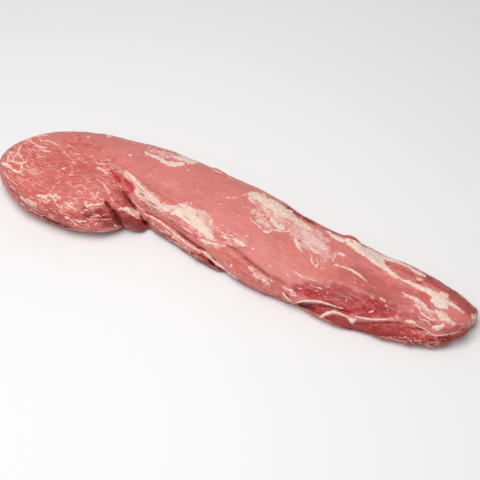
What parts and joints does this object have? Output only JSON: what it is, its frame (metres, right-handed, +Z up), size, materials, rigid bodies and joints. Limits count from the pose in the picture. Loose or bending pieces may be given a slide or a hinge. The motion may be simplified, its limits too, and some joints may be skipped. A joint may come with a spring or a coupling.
{
  "type": "raw whole beef tenderloin",
  "caption": "Raw whole beef tenderloin: a long tapering muscle with a broad oval head, a side strand, a small lobe in the cleft and a blunt tail.",
  "frame": {"origin": "bottom centre of the bounding box, on the surface that the meat rests on", "axes": "+X along the length, from the broad head to the tail, +Y to the smooth far side, away from the side strand, +Z up"},
  "size_m": [0.569, 0.1462, 0.0531],
  "materials": {
    "raw_beef": "moist raw beef, pinkish red, with cream fat and thin whitish membrane"
  },
  "bodies": {
    "root": {"tenderloin": "raw_beef"}
  },
  "joints": []
}
